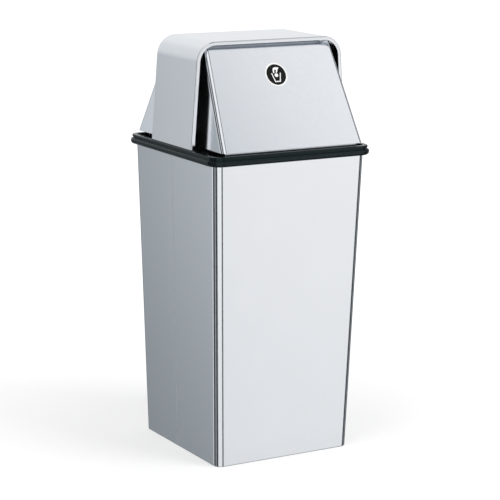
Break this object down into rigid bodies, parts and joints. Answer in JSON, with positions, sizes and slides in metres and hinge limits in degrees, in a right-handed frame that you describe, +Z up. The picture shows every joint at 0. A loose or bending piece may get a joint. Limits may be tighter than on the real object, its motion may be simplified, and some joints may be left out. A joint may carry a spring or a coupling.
{
  "type": "trash can",
  "caption": "Square tapered steel waste bin with a rubber rim bumper and a lift-off arched lid whose sloping push flaps swing inwards and spring shut.",
  "frame": {"origin": "on the floor, under the middle of the body", "axes": "+Z up; -Y towards the front flap that carries the sign; +X to the right seen from the front"},
  "size_m": [0.4, 0.4, 0.912],
  "materials": {
    "satin_steel": "satin, finely brushed",
    "plain_steel": "dull zinc-coated sheet",
    "black_paint": "satin black enamel",
    "hinge_steel": "plain rolled",
    "spring_steel": "drawn wire",
    "black_rubber": "smooth, slightly shiny",
    "sign_plastic": "gloss black with a white rim and symbol"
  },
  "bodies": {
    "bin": {"body_shell": "satin_steel", "base_pan": "plain_steel", "bumper": "black_rubber"},
    "lid": {"hood": "satin_steel", "lid_frame": "black_paint", "front_hinge_rail": "plain_steel", "front_fixed_leaf": "hinge_steel", "front_hinge_pin": "hinge_steel", "front_springs": "spring_steel", "front_stop_buffers": "black_rubber", "rear_hinge_rail": "plain_steel", "rear_fixed_leaf": "hinge_steel", "rear_hinge_pin": "hinge_steel", "rear_springs": "spring_steel", "rear_stop_buffers": "black_rubber"},
    "front_flap": {"front_flap_panel": "satin_steel", "front_moving_leaf": "hinge_steel", "symbol_disc": "sign_plastic"},
    "rear_flap": {"rear_flap_panel": "satin_steel", "rear_moving_leaf": "hinge_steel"}
  },
  "joints": [
    {"name": "lid_lift", "type": "slide", "parent": "bin", "child": "lid", "axis": [0, 0, 1], "range_m": [0, 0.15]},
    {"name": "front_flap_swing", "type": "hinge", "parent": "lid", "child": "front_flap", "pos_m": [0, -0.07468, 0.89073], "axis": [1, 0, 0], "range_deg": [0, 33], "stiffness_Nm_per_rad": 1.25, "springref_deg": -37.24, "deforming": ["front_springs"]},
    {"name": "rear_flap_swing", "type": "hinge", "parent": "lid", "child": "rear_flap", "pos_m": [0, 0.07468, 0.89073], "axis": [-1, 0, 0], "range_deg": [0, 33], "stiffness_Nm_per_rad": 1.25, "springref_deg": -37.24, "deforming": ["rear_springs"]}
  ]
}
